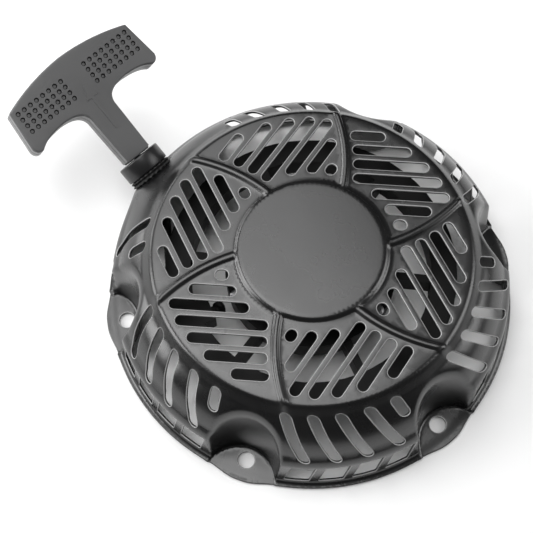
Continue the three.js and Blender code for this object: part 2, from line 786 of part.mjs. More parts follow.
const reelGroup = new THREE.Group();
starter.add(reelGroup);
place('reel', reelSolid(), reelPlastic, reelGroup);
place('spring_cover', springCover(), reelPlastic, reelGroup);
coverScrews().forEach((screw, i) => {
  place(`spring_cover_screw_${i + 1}`, screw, zincSteel, reelGroup);
});
place('mainspring', mainspring(), springSteel, reelGroup);
place('rope_winding', ropeWinding(), ropeBraid, reelGroup);
place('rope_anchor', ropeAnchor(), ropeBraid, reelGroup);
['a', 'b'].forEach((letter, i) => {
  const angle = pawlPinAngles[i];
  place(`pawl_pin_${letter}`, pawlPin(angle), zincSteel, reelGroup);
  place(`pawl_${letter}`, pawl(angle), zincSteel, reelGroup);
  place(`pawl_spring_${letter}`, pawlSpring(angle), springSteel, reelGroup);
});
place('ratchet_guide', ratchetGuide(), zincSteel, reelGroup);
place('friction_washer', ring(screwRadius + gap, 9, washerLow, washerLow + 1, 32), zincSteel,
  housing);
place('friction_spring', frictionSpring(), springSteel, housing);

const handleGroup = new THREE.Group();
starter.add(handleGroup);
place('handle_grip', handleGrip(), gripPlastic, handleGroup);
place('handle_retainer', handleRetainer(), zincSteel, handleGroup);
place('handle_knot', handleKnot(), ropeBraid, handleGroup);
place('rope_run', wire(ropeRoute(), ropeRadius, 32, 4), ropeBraid, handleGroup);

export default starter;
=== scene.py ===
# %% [markdown]
# # Recoil starter
# A pull-start unit for a small engine: a pressed steel cover full of slots, a rope reel
# and mainspring under it, and a T handle parked against the rope's outlet. Everything is
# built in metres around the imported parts; each finished piece rides on the part's body,
# so it moves when the rope is pulled.

import json
import math

import bmesh
import bpy
import numpy as np
from mathutils import Matrix, Vector
from mathutils.geometry import delaunay_2d_cdt


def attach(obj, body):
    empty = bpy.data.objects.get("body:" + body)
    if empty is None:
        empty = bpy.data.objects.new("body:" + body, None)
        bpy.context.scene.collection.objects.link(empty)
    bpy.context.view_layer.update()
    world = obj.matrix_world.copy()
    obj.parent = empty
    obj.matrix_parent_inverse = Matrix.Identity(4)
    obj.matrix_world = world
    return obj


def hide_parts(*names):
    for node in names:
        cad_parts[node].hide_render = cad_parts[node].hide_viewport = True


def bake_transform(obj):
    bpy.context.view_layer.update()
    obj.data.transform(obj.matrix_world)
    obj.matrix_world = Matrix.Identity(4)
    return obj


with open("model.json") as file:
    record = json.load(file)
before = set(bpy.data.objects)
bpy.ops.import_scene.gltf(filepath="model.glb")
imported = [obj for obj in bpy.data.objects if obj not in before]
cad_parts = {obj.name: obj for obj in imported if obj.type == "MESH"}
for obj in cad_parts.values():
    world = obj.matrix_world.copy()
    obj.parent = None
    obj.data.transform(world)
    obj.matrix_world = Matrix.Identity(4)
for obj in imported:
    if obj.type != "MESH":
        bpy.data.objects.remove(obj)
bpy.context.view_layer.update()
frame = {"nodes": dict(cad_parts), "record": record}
nodes = frame["nodes"]
MM = 0.001

# %% [markdown]
# ## Sizes
# The same driving sizes as the part, in millimetres. Radii count from the crankshaft
# axis and heights from the mounting plane.

# %% Sizes
SHEET = 1.5
FOLD_RADIUS = 85.0
FOLD_HEIGHT = 55.0
PAD_RADIUS = 39.5
PAD_HEIGHT = 57.0
EARS = (30, 150, 210, 270, 330)
BOLT_CIRCLE = 105.7
BOLT_HOLE = 4.5
FLANGE_RADIUS = 115.0
EAR_SWELL = 2.1
EAR_SPAN = 12.5
RIB_HEIGHT = 1.5
RIB_COUNT = 6
SLOT_WIDTH = 5.7
SLOT_LEAN = math.radians(-39.7)
SKIRT_TOPS = (-19.4, -10.6, -1.7, 7.7)
WINDOWS = (-14, -4.5, 4.8, 14.3)
SEGMENTS = (0, 60, 120, 180, 240, 300)
OUTLET_SEGMENT = 120
ROPE_RADIUS = 2.5
OUTLET_PLACE = np.array((-30.3, 102.4, 30.5))
OUTLET_SEAT = 14.2
PULL_HEADING, PULL_TILT = math.radians(4.1), math.radians(28)
HANDLE_START = 13.9
PULL_TRAVEL = 850.0

# %% [markdown]
# ## Small tools
# Every finished piece is a plain mesh made from points and faces. `piece` gives it its
# finish, its body and the CAD node that it stands for. `rope_place` puts points given
# as (right, along the rope, up) at the outlet, where the rope rises at 28 degrees, and
# `lathe_rope` turns a section about the rope's line.

# %% Tools
def piece(name, points, faces, material, body, slot, node=None, sharp=35):
    mesh = bpy.data.meshes.new(name)
    mesh.from_pydata([tuple(p) for p in np.asarray(points) * MM], [], faces)
    mesh.validate()
    bm = bmesh.new()
    bm.from_mesh(mesh)
    bmesh.ops.recalc_face_normals(bm, faces=bm.faces)
    bm.to_mesh(mesh)
    bm.free()
    mesh.polygons.foreach_set("use_smooth", [True] * len(mesh.polygons))
    mesh.set_sharp_from_angle(angle=math.radians(sharp))
    thing = bpy.data.objects.new(name, mesh)
    bpy.context.scene.collection.objects.link(thing)
    mesh.materials.append(material)
    if body:
        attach(thing, body)
    if node:
        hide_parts(node)
    return thing


def ring_faces(rings, count, closed=True):
    """Quads between rings of `count` points; with closed, the last ring joins the first."""
    faces = []
    for i in range(rings if closed else rings - 1):
        a, b = i * count, (i + 1) % rings * count
        for j in range(count):
            k = (j + 1) % count
            faces.append((a + j, a + k, b + k, b + j))
    return faces


ROPE_AXES = np.array([
    (math.cos(PULL_HEADING), math.sin(PULL_HEADING), 0),
    (-math.sin(PULL_HEADING) * math.cos(PULL_TILT),
     math.cos(PULL_HEADING) * math.cos(PULL_TILT), math.sin(PULL_TILT)),
    (math.sin(PULL_HEADING) * math.sin(PULL_TILT),
     -math.cos(PULL_HEADING) * math.sin(PULL_TILT), math.cos(PULL_TILT))])


def rope_place(points):
    return OUTLET_PLACE + np.asarray(points, float) @ ROPE_AXES


def lathe_rope(section, steps=96, bump=None):
    """Turn (radius, along) points about the rope's line; bump(along, angle) moves the radius."""
    points = []
    for radius, along in section:
        for j in range(steps):
            a = 2 * math.pi * j / steps
            r = radius + (bump(along, a) if bump else 0)
            points.append((r * math.cos(a), along, r * math.sin(a)))
    return rope_place(points), ring_faces(len(section), steps)


def smoothstep(x):
    x = np.clip(x, 0, 1)
    return x * x * (3 - 2 * x)


def soft_min(a, b, k):
    h = np.clip(0.5 + 0.5 * (b - a) / k, 0, 1)
    return b + (a - b) * h - k * h * (1 - h)


def soft_max(a, b, k):
    return -soft_min(-a, -b, k)


def polar(radius, degrees):
    a = math.radians(degrees)
    return radius * math.cos(a), radius * math.sin(a)


# %% [markdown]
# ## Camera
# A long lens looks steeply down over the front of the unit from 0.6 m, turned a little,
# so the cover fills the picture and the handle reaches the upper left corner.

# %% Camera
AZIMUTH, ELEVATION, ROLL = math.radians(-38.75), math.radians(66.31), math.radians(-1.77)
back = Vector((math.sin(AZIMUTH) * math.cos(ELEVATION),
               -math.cos(AZIMUTH) * math.cos(ELEVATION), math.sin(ELEVATION)))
target = Vector((-0.0094, 0.02695, 0.0))
right = (-back).cross(Vector((0, 0, 1))).normalized()
up = right.cross(-back)
turned_right = right * math.cos(ROLL) + up * math.sin(ROLL)
turned_up = up * math.cos(ROLL) - right * math.sin(ROLL)
camera_data = bpy.data.cameras.new("camera")
camera_data.lens = 69.3
camera_data.sensor_width = 36
camera_data.clip_start = 0.01
camera = bpy.data.objects.new("camera", camera_data)
bpy.context.scene.collection.objects.link(camera)
axes = Matrix((turned_right, turned_up, back)).transposed()
camera.matrix_world = Matrix.Translation(target + back * 0.598) @ axes.to_4x4()
bpy.context.scene.camera = camera
print("camera at", [round(v, 3) for v in camera.matrix_world.translation])

# %% [markdown]
# ## Floor and light
# A bright seamless table. The light is soft: one panel overhead, one a little behind it,
# one at each side and a low strip at the rear left. Hardly any light comes from the
# front, so the enamel on the walls that face the viewer falls to near black.

# %% Floor and light
def area_light(name, place, aim, width, height, power):
    data = bpy.data.lights.new(name, "AREA")
    data.shape = "RECTANGLE"
    data.size, data.size_y = width, height
    data.energy = power
    light = bpy.data.objects.new(name, data)
    light.location = place
    light.rotation_euler = (Vector(aim) - Vector(place)).to_track_quat("-Z", "Y").to_euler()
    bpy.context.scene.collection.objects.link(light)
    return light


def plain_material(name, color, roughness):
    material = bpy.data.materials.new(name)
    material.use_nodes = True
    shader = material.node_tree.nodes["Principled BSDF"]
    shader.inputs["Base Color"].default_value = (*color, 1)
    shader.inputs["Roughness"].default_value = roughness
    return material


floor_mesh = bpy.data.meshes.new("floor")
floor_mesh.from_pydata([(-6, -6, 0), (6, -6, 0), (6, 6, 0), (-6, 6, 0)], [], [(0, 1, 2, 3)])
floor_mesh.materials.append(plain_material("table_white", (0.9, 0.9, 0.9), 0.9))
floor = bpy.data.objects.new("floor", floor_mesh)
floor.location.z = -0.0008
bpy.context.scene.collection.objects.link(floor)

centre = (0, 0, 0.03)
area_light("overhead", (-0.16, 0.12, 1.3), centre, 0.9, 0.9, 9)
area_light("rear_overhead", (0.18, 0.64, 1.17), centre, 0.8, 0.8, 5)
area_light("left_panel", (-0.88, 0.70, 0.68), centre, 0.8, 0.8, 12)
area_light("right_panel", (0.88, -0.70, 0.68), centre, 0.8, 0.8, 7)
area_light("rear_left_strip", (-0.20, 1.26, 0.35), centre, 0.8, 0.4, 6)

world = bpy.data.worlds.new("studio")
bpy.context.scene.world = world
world.use_nodes = True
world.node_tree.nodes["Background"].inputs["Color"].default_value = (1, 1, 1, 1)
world.node_tree.nodes["Background"].inputs["Strength"].default_value = 0.08
bpy.context.scene.view_settings.view_transform = "Standard"

# %% [markdown]
# ## Shared effects
# Two node groups put out plain values: `grain` is a fine bump for paint and plastic, and
# `patches` is a slow mask for roughness. The shaders stay in each material.

# %% Shared effects
def new_group(name, inputs, outputs):
    group = bpy.data.node_groups.new(name, "ShaderNodeTree")
    for label, kind, value in inputs:
        socket = group.interface.new_socket(label, in_out="INPUT", socket_type=kind)
        socket.default_value = value
    for label, kind in outputs:
        group.interface.new_socket(label, in_out="OUTPUT", socket_type=kind)
    return group, group.nodes.new("NodeGroupInput"), group.nodes.new("NodeGroupOutput")


def grain_group():
    """Fine surface texture as a normal: scale in bumps per metre, strength 0 to 1."""
    group, given, out = new_group("grain", [("Scale", "NodeSocketFloat", 600.0),
                                            ("Strength", "NodeSocketFloat", 0.1)],
                                  [("Normal", "NodeSocketVector")])
    place = group.nodes.new("ShaderNodeTexCoord")
    noise = group.nodes.new("ShaderNodeTexNoise")
    noise.inputs["Detail"].default_value = 2
    bump = group.nodes.new("ShaderNodeBump")
    bump.inputs["Distance"].default_value = 0.0002
    group.links.new(place.outputs["Object"], noise.inputs["Vector"])
    group.links.new(given.outputs["Scale"], noise.inputs["Scale"])
    group.links.new(noise.outputs["Fac"], bump.inputs["Height"])
    group.links.new(given.outputs["Strength"], bump.inputs["Strength"])
    group.links.new(bump.outputs["Normal"], out.inputs["Normal"])
    return group


def patches_group():
    """A slow mask between Low and High."""
    group, given, out = new_group("patches", [("Scale", "NodeSocketFloat", 30.0),
                                              ("Low", "NodeSocketFloat", 0.3),
                                              ("High", "NodeSocketFloat", 0.4)],
                                  [("Value", "NodeSocketFloat")])
    place = group.nodes.new("ShaderNodeTexCoord")
    noise = group.nodes.new("ShaderNodeTexNoise")
    noise.inputs["Detail"].default_value = 4
    spread = group.nodes.new("ShaderNodeMapRange")
    spread.inputs["From Min"].default_value = 0.35
    spread.inputs["From Max"].default_value = 0.65
    group.links.new(place.outputs["Object"], noise.inputs["Vector"])
    group.links.new(given.outputs["Scale"], noise.inputs["Scale"])
    group.links.new(noise.outputs["Fac"], spread.inputs["Value"])
    group.links.new(given.outputs["Low"], spread.inputs["To Min"])
    group.links.new(given.outputs["High"], spread.inputs["To Max"])
    group.links.new(spread.outputs["Result"], out.inputs["Value"])
    return group


GRAIN = grain_group()
PATCHES = patches_group()


def finish_of(name, color, metallic, rough, grain, spec=0.5):
    """A finish: colour, metal, (low, high) roughness, (scale, strength) of its grain."""
    material = plain_material(name, color, rough[0])
    tree = material.node_tree
    shader = tree.nodes["Principled BSDF"]
    shader.inputs["Metallic"].default_value = metallic
    shader.inputs["Specular IOR Level"].default_value = spec
    bump = tree.nodes.new("ShaderNodeGroup")
    bump.node_tree = GRAIN
    bump.inputs["Scale"].default_value, bump.inputs["Strength"].default_value = grain
    tree.links.new(bump.outputs["Normal"], shader.inputs["Normal"])
    mask = tree.nodes.new("ShaderNodeGroup")
    mask.node_tree = PATCHES
    mask.inputs["Low"].default_value, mask.inputs["High"].default_value = rough
    tree.links.new(mask.outputs["Value"], shader.inputs["Roughness"])
    return material


FINISH = {
    "painted_steel": finish_of("black_enamel", (0.003, 0.003, 0.0032), 0.0, (0.24, 0.31), (700, 0.10),
                               spec=0.8),
    # painted highlight: this light grey colour stands for the light caught on the rounded cut edges
    "painted_highlight_edge": finish_of("enamel_painted_edge_highlight", (0.28, 0.28, 0.28), 0.0, (0.28, 0.36), (700, 0.1), spec=0.8),
    "zinc_steel": finish_of("zinc_plate", (0.55, 0.55, 0.56), 1.0, (0.25, 0.42), (900, 0.1)),
    "spring_steel": finish_of("oiled_spring", (0.20, 0.21, 0.24), 1.0, (0.22, 0.38), (500, 0.08)),
    "black_plastic": finish_of("satin_plastic", (0.012, 0.012, 0.0125), 0.0, (0.3, 0.4), (1600, 0.12)),
    "grip_plastic": finish_of("grip_grain", (0.07, 0.07, 0.071), 0.0, (0.34, 0.44), (2200, 0.2), spec=0.7),
    # painted shade: the dimple walls are coloured near black for the shade inside the recesses
    "dimple_painted_shade": finish_of("grip_dimple_painted_shade", (0.004, 0.004, 0.004), 0.0, (0.16, 0.22), (2200, 0.1),
                        spec=0.7),
    "reel_plastic": finish_of("reel_nylon", (0.002, 0.002, 0.002), 0.0, (0.45, 0.6), (900, 0.1), spec=0.2),
    "seal_rubber": finish_of("rubber", (0.008, 0.008, 0.008), 0.0, (0.55, 0.75), (1200, 0.2)),
    "rope_braid": finish_of("braid", (0.005, 0.005, 0.005), 0.0, (0.5, 0.7), (3000, 0.3), spec=0.2),
}
for part in frame["record"]["subparts"]:
    shape = nodes[part["node"]]
    shape.data.materials.clear()
    shape.data.materials.append(FINISH[part["material_slot"]])
print("finishes:", sorted(FINISH))

# %% [markdown]
# ## Cover: the pressed shape
# The cover is one sheet of steel drawn in a press. Its section goes from the flat pad
# over the slotted tier, the domed skirt and the upright wall to the flange. Round this
# body the press adds the recess above each bolt ear, the outlet bump for the rope, and
# the ribs. All of them can be seen from one point under the cover, so the shape is a
# distance from that point: recesses take the shorter distance and the bump the longer,
# with soft changes between them like the radii of a real pressing.

# %% Pressed shape
SKIRT_TOP = (88.6, 50.4)
SKIRT_FOOT = (106.4, 30.5)
WALL_TOP = (109.8, 26.0)
WALL_FOOT_RADIUS = 111.5
FLANGE_TOP = 1.55
VIEW_HEIGHT = -60.0


def skirt_point(place):
    bulge = 1.8 * math.sin(math.pi * place)
    return (SKIRT_TOP[0] + place * (SKIRT_FOOT[0] - SKIRT_TOP[0]) + bulge,
            SKIRT_TOP[1] + place * (SKIRT_FOOT[1] - SKIRT_TOP[1]) + bulge)


def rounded(corners):
    """A section line through corners (r, z, cut): each corner is rounded over `cut`."""
    line = []
    for i, (r, z, cut) in enumerate(corners):
        here = np.array((r, z))
        if not cut:
            line.append(here)
            continue
        before = np.array(corners[i - 1][:2]) - here
        after = np.array(corners[i + 1][:2]) - here
        start = here + before / np.linalg.norm(before) * cut
        end = here + after / np.linalg.norm(after) * cut
        for t in np.linspace(0, 1, 9):
            line.append((1 - t) ** 2 * start + 2 * t * (1 - t) * here + t ** 2 * end)
    return np.array(line)


SECTION = rounded([(0, PAD_HEIGHT, 0), (PAD_RADIUS, PAD_HEIGHT, 0.9), (PAD_RADIUS + 1.5, FOLD_HEIGHT, 0.9),
                   (FOLD_RADIUS + 0.2, FOLD_HEIGHT, 1.5),
                   *[(*skirt_point(p), 0) for p in np.linspace(0.08, 0.94, 10)],
                   (108.6, 28.9, 1.8), (*WALL_TOP, 1.5), (111.6, FLANGE_TOP, 3.5),
                   (125.0, FLANGE_TOP, 0)])
LENGTH = np.concatenate([[0], np.cumsum(np.linalg.norm(np.diff(SECTION, axis=0), axis=1))])
SLOPE = (SECTION[:, 1] - VIEW_HEIGHT) / np.maximum(SECTION[:, 0], 1e-6)


def along_section(values, wanted):
    """The length along the section where a steadily changing value is reached."""
    order = np.argsort(values)
    return np.interp(wanted, np.asarray(values)[order], LENGTH[order])


def length_of_point(x, y, z):
    """Where the ray from the viewing point through a 3-D point crosses the section."""
    slope = (np.asarray(z) - VIEW_HEIGHT) / np.hypot(x, y)
    return along_section(-SLOPE, -slope)


def outlet_planes():
    """The flat sides of the rope outlet's bump, as outward normals and offsets."""
    turn = np.radians(np.arange(0, 360, 15))
    seat = np.stack([OUTLET_SEAT * np.cos(turn), 0 * turn, OUTLET_SEAT * np.sin(turn)], axis=1)
    corners = [*rope_place(seat), (*polar(88.6, 125), 50.4), (*polar(88.6, 90), 50.4),
               (*polar(109.8, 136), 0), (*polar(109.8, 136), 26), (*polar(106.8, 84), 0),
               (*polar(106.8, 84), 26), (*polar(111.6, 112), 0), (*polar(111.6, 99), 0),
               (*polar(40, 110), 0), (*polar(60, 110), 50.4)]
    bm = bmesh.new()
    for corner in corners:
        bm.verts.new(corner)
    bmesh.ops.convex_hull(bm, input=bm.verts)
    planes = []
    for face in bm.faces:
        face.normal_update()
        n = np.array(face.normal)
        if all(np.dot(n, m) < 0.995 for m, _ in planes):
            planes.append((n, float(np.dot(n, np.array(face.verts[0].co)))))
    bm.free()
    return planes


OUTLET = outlet_planes()
POCKET_CENTRE, POCKET_RADIUS, POCKET_SPREAD = 118.0, 19.2, 0.12


def pocket_distance(direction, degrees):
    """Where a ray enters the cone-shaped recess above one ear (large if it misses)."""
    cx, cy = polar(POCKET_CENTRE, degrees)
    dx, dy, dz = direction.T
    foot = POCKET_RADIUS + POCKET_SPREAD * VIEW_HEIGHT
    a = dx * dx + dy * dy - (POCKET_SPREAD * dz) ** 2
    b = dx * cx + dy * cy + foot * POCKET_SPREAD * dz
    c = cx * cx + cy * cy - foot ** 2
    inside = b * b - a * c
    entry = (b - np.sqrt(np.maximum(inside, 0))) / np.where(np.abs(a) < 1e-6, 1e-6, a)
    floor_at = (FLANGE_TOP - VIEW_HEIGHT) / dz
    hit = (inside > 0) & (a > 0) & (np.hypot(dx, dy) > 75) & (entry > 0.3)
    return np.where(hit, soft_max(entry, floor_at, 0.016), 9.0)


def rib_angle(k, radius):
    return 85 - 60 * k + 0.345 * (radius - PAD_RADIUS - 4)


def rib_height(radius, degrees):
    """The ribs stand a little over the panels."""
    nearest = np.full(radius.shape, 99.0)
    for k in range(RIB_COUNT):
        off = (degrees - rib_angle(k, radius) + 180) % 360 - 180
        nearest = np.minimum(nearest, np.abs(np.radians(off)) * radius)
    rib = smoothstep((2.7 - nearest) / 1.9)
    inner = smoothstep((radius - PAD_RADIUS - 0.5) / 1.0)
    return RIB_HEIGHT * inner * rib * (radius < 95)


def surface(length, theta):
    """Outer surface of the cover: length along the section and angle (radians) to points."""
    r = np.interp(length, LENGTH, SECTION[:, 0])
    z = np.interp(length, LENGTH, SECTION[:, 1])
    tier = smoothstep((88.2 - r) / 2.4)
    z = z + tier * rib_height(r, np.degrees(theta))
    direction = np.stack([r * np.cos(theta), r * np.sin(theta), z - VIEW_HEIGHT], axis=1)
    t = np.ones(len(r))
    for angle in EARS:
        t = soft_min(t, pocket_distance(direction, angle), 0.028)
    bump = np.full(len(r), 9.0)
    for n, offset in OUTLET:
        toward = direction @ n
        reach = np.where(toward > 1e-6, (offset - n[2] * VIEW_HEIGHT) / np.maximum(toward, 1e-6), 9.0)
        bump = soft_min(bump, reach, 0.012)
    near = smoothstep((np.cos(theta - math.radians(108)) - 0.80) / 0.05)
    t = t + (soft_max(t, bump, 0.018) - t) * near
    t = 1 + (t - 1) * smoothstep((117.5 - r) / 2.0)
    points = direction * t[:, None] + (0, 0, VIEW_HEIGHT)
    local = (points - OUTLET_PLACE) @ ROPE_AXES.T
    on_seat = smoothstep((OUTLET_SEAT + 0.5 - np.hypot(local[:, 0], local[:, 2])) / 0.9)
    local[:, 1] -= np.maximum(local[:, 1], 0) * on_seat * (local[:, 1] < 14)
    points = OUTLET_PLACE + local @ ROPE_AXES
    return points


print("section length (mm):", round(float(LENGTH[-1]), 1), " outlet sides:", len(OUTLET))

# %% [markdown]
# ## Cover: slots, windows and holes
# All openings are punched. Each is a closed loop on the pressed shape: round-ended
# slots in the six sunken panels, slanted slots down the skirt, square windows in the
# wall, bolt holes in the ears and the round rope hole.

# %% Openings
def capsule_loop(start, end, width, step=1.6):
    """A round-ended slot outline in a plane, counter-clockwise."""
    start, end = np.array(start, float), np.array(end, float)
    along = end - start
    length = np.linalg.norm(along)
    along /= length
    across = np.array((-along[1], along[0]))
    half = width / 2
    straight = max(int(length / step), 1)
    points = []
    for i in range(straight):
        points.append(start - across * half + along * length * i / straight)
    for a in np.linspace(-math.pi / 2, math.pi / 2, 9)[:-1]:
        points.append(end + along * half * math.cos(a) + across * half * math.sin(a))
    for i in range(straight):
        points.append(end + across * half - along * length * i / straight)
    for a in np.linspace(math.pi / 2, 1.5 * math.pi, 9)[:-1]:
        points.append(start + along * half * math.cos(a) + across * half * math.sin(a))
    return np.array(points)


def circle_loop(x, y, radius, count=28):
    a = np.arange(count) * 2 * math.pi / count
    return np.stack([x + radius * np.cos(a), y + radius * np.sin(a)], axis=1)


def panel_slots(edge):
    """Outlines (length, angle) of the panel slots; `edge` widens them."""
    loops = []
    along = np.array((math.cos(SLOT_LEAN), math.sin(SLOT_LEAN)))
    across = np.array((-along[1], along[0]))
    for i in range(7):
        places = []
        for t in np.arange(-85, 85, 0.25):
            p = along * t + across * (17.7 + 8.9 * i)
            radius = np.hypot(*p)
            degrees = math.degrees(math.atan2(p[1], p[0])) + 55
            upper = math.radians(rib_angle(0, radius) - degrees) * radius
            lower = math.radians(degrees - rib_angle(1, radius)) * radius
            if 48.6 < radius < 78.8 and min(upper, lower) > 7.6:
                places.append(t)
        low, high = places[0], places[-1]
        outline = capsule_loop(along * low + across * (17.7 + 8.9 * i),
                               along * high + across * (17.7 + 8.9 * i), SLOT_WIDTH + 2 * edge)
        radius = np.hypot(*outline.T)
        angle = np.arctan2(outline[:, 1], outline[:, 0])
        flat = LENGTH[np.searchsorted(-SECTION[:, 1], -FOLD_HEIGHT - 1e-6)]
        start_r = np.interp(flat, LENGTH, SECTION[:, 0])
        for k in range(RIB_COUNT):
            loops.append((flat + radius - start_r, angle + math.radians(55 - 60 * k)))
    return loops


SKIRT_START = LENGTH[np.argmin(np.hypot(*(SECTION - skirt_point(0.08)).T))] - 2.0
SKIRT_LONG = 27.0


def skirt_slots(edge):
    loops = []
    for middle in SEGMENTS:
        tops = SKIRT_TOPS[3:] if middle == OUTLET_SEGMENT else SKIRT_TOPS
        cuts = [(middle + top, 6.0, 0.10, 0.97) for top in tops]
        cuts.append((middle + 16.6, 1.0, 0.10, 0.35))
        for top, turn, start, end in cuts:
            outline = capsule_loop((start * SKIRT_LONG, 0), (end * SKIRT_LONG, 0), SLOT_WIDTH + 2 * edge)
            place = outline[:, 0] / SKIRT_LONG
            radius = np.interp(SKIRT_START + outline[:, 0], LENGTH, SECTION[:, 0])
            bend = (place - start) / (end - start)
            angle = np.radians(top + turn * bend) + outline[:, 1] / radius
            loops.append((SKIRT_START + outline[:, 0], angle))
    return loops


def wall_windows(edge):
    loops = []
    wall = (SECTION[:, 0] > WALL_TOP[0] - 0.5) & (SECTION[:, 0] < WALL_FOOT_RADIUS + 0.5)
    low, high = 4.2 - edge, 24.6 + edge
    start, end = (np.interp(-z, -SECTION[wall, 1], LENGTH[wall]) for z in (high, low))
    for middle in SEGMENTS:
        for window in (WINDOWS[3:] if middle == OUTLET_SEGMENT else WINDOWS):
            half = (6.5 + edge) / 111
            centre_at = math.radians(middle + window)
            lean = 0.016
            corners = [(start, lean - half), (start, lean + half), (end, half - lean), (end, -half - lean)]
            line = []
            for (s1, a1), (s2, a2) in zip(corners, corners[1:] + corners[:1]):
                for t in np.linspace(0.04, 0.96, 11):
                    line.append((s1 + t * (s2 - s1), centre_at + a1 + t * (a2 - a1)))
            loops.append(tuple(np.array(line).T))
    return loops


def ear_holes(edge):
    loops = []
    for angle in EARS:
        x, y = circle_loop(*polar(BOLT_CIRCLE, angle), BOLT_HOLE + edge).T
        loops.append((length_of_point(x, y, np.full(len(x), FLANGE_TOP)), np.arctan2(y, x)))
    return loops


def rope_hole(edge):
    right, up_ = circle_loop(0, 0, 9.4 + edge, 40).T
    x, y, z = rope_place(np.stack([right, 0 * right, up_], axis=1)).T
    return [(length_of_point(x, y, z), np.arctan2(y, x))]


def rim_radius(degrees):
    """The flange's edge: a circle that swells into a rounded tip at each ear."""
    nearest = min(abs((degrees - ear + 180) % 360 - 180) for ear in EARS)
    swell = smoothstep(np.array((EAR_SPAN - nearest) / (EAR_SPAN - 1)))
    return FLANGE_RADIUS + EAR_SWELL * float(swell)


def flange_edge(edge):
    angle = np.radians(np.arange(0, 360, 0.75))
    radius = np.array([rim_radius(a) for a in np.arange(0, 360, 0.75)]) - edge
    height = np.full(len(angle), FLANGE_TOP)
    return length_of_point(radius * np.cos(angle), radius * np.sin(angle), height), angle


EDGE = 0.45
holes = panel_slots(EDGE) + skirt_slots(EDGE) + wall_windows(EDGE) + ear_holes(EDGE) + rope_hole(EDGE)
print("openings in the cover:", len(holes))

# %% [markdown]
# ## Cover: meshing the sheet
# The openings' loops and a cloud of guide points are joined into triangles in the flat
# plan of (length, angle), then lifted onto the pressed shape. The inner side is the
# same net moved in by the sheet's thickness, and rounded strips close each cut edge,
# because a punched and painted edge always shows a thin bright line. The rounded part
# gets a light grey colour: a painted highlight for the light caught on the cut edge.

# %% Sheet mesher
def in_plan(length, angle):
    return np.stack([length * np.cos(angle), length * np.sin(angle)], axis=1)


def inside_loop(points, loop):
    """Which plan points lie inside a closed loop."""
    inside = np.zeros(len(points), bool)
    low, high = loop.min(0), loop.max(0)
    near = np.all((points >= low) & (points <= high), axis=1)
    x, y = points[near].T
    hit = np.zeros(near.sum(), bool)
    for (x1, y1), (x2, y2) in zip(loop, np.roll(loop, -1, axis=0)):
        if y1 != y2:
            hit ^= ((y1 > y) != (y2 > y)) & (x < (x2 - x1) * (y - y1) / (y2 - y1) + x1)
    inside[near] = hit
    return inside


def clear_of(points, loops, gap):
    """Keeps the points that are farther than gap from every loop point."""
    marks = np.concatenate(loops)
    keep = np.ones(len(points), bool)
    for i in range(0, len(points), 2000):
        part = points[i:i + 2000]
        near = ((part[:, None, :] - marks[None, :, :]) ** 2).sum(2).min(1)
        keep[i:i + 2000] = near > gap * gap
    return points[keep]


def net(outer, inner_loops, cloud, gap=0.7):
    """Triangles in the plan between the outer loop and the holes, over the cloud."""
    cloud = cloud[inside_loop(cloud, outer)]
    for loop in inner_loops:
        cloud = cloud[~inside_loop(cloud, loop)]
    cloud = clear_of(cloud, [outer, *inner_loops], gap)
    loops = [outer, *inner_loops]
    points = np.concatenate(loops + [cloud])
    edges, start = [], 0
    for loop in loops:
        n = len(loop)
        edges += [(start + i, start + (i + 1) % n) for i in range(n)]
        start += n
    co, _, faces, origin, _, _ = delaunay_2d_cdt([Vector(p) for p in points], edges, [], 0, 1e-5)
    co = np.array([tuple(v) for v in co])
    faces = np.array(faces)
    middle = co[faces].mean(1)
    keep = inside_loop(middle, outer)
    for loop in inner_loops:
        keep &= ~inside_loop(middle, loop)
    number = {src: new for new, sources in enumerate(origin) for src in sources}
    rings, start = [], 0
    for loop in loops:
        rings.append([number[start + i] for i in range(len(loop))])
        start += len(loop)
    return co, faces[keep], rings


def vertex_normals(points, faces):
    a, b, c = (points[faces[:, i]] for i in range(3))
    face_normal = np.cross(b - a, c - a)
    normals = np.zeros_like(points)
    for i in range(3):
        np.add.at(normals, faces[:, i], face_normal)
    return normals / np.maximum(np.linalg.norm(normals, axis=1, keepdims=True), 1e-12)


def edge_strip(points, normals, ring, profile, outward, first_new, far_ring):
    """Points and quads of a rounded edge from one ring of the net to its inner twin."""
    p, n = points[ring], normals[ring]
    tangent = np.roll(p, -1, axis=0) - np.roll(p, 1, axis=0)
    side = np.cross(n, tangent)
    side /= np.maximum(np.linalg.norm(side, axis=1, keepdims=True), 1e-9)
    toward = (side * (p.mean(0) - p)).sum()
    if (toward < 0) != outward:
        side = -side
    new, faces, before = [], [], list(ring)
    for out, depth in profile:
        here = [first_new + len(new) + i for i in range(len(ring))]
        new += list(p + side * out - n * depth)
        faces += [(before[i], before[(i + 1) % len(ring)], here[(i + 1) % len(ring)], here[i])
                  for i in range(len(ring))]
        before = here
    faces += [(before[i], before[(i + 1) % len(ring)], far_ring[(i + 1) % len(ring)], far_ring[i])
              for i in range(len(ring))]
    return new, faces


EDGE_ROUND = [(0.2, 0.03), (0.36, 0.14), (0.45, 0.42), (0.45, 1.05), (0.36, 1.36), (0.2, 1.47)]


def sheet_piece(plan, faces, rings, lift, thickness, profile=EDGE_ROUND):
    """Lifts a net, adds its inner side and rounds the edges; returns points and faces."""
    outer_points = lift(plan)
    normals = vertex_normals(outer_points, faces)
    if normals[:, 2].mean() < 0:
        faces = faces[:, ::-1]
        normals = -normals
    count = len(outer_points)
    points = list(outer_points) + list(outer_points - normals * thickness)
    all_faces = [tuple(f) for f in faces] + [tuple(f[::-1] + count) for f in faces]
    painted_highlight_faces = []
    for i, ring in enumerate(rings):
        far = [r + count for r in ring]
        new, quads = edge_strip(outer_points, normals, ring, profile, i == 0, len(points), far)
        points += new
        if i:
            painted_highlight_faces += range(len(all_faces), len(all_faces) + 3 * len(ring))
        all_faces += quads
    return np.array(points), all_faces, painted_highlight_faces


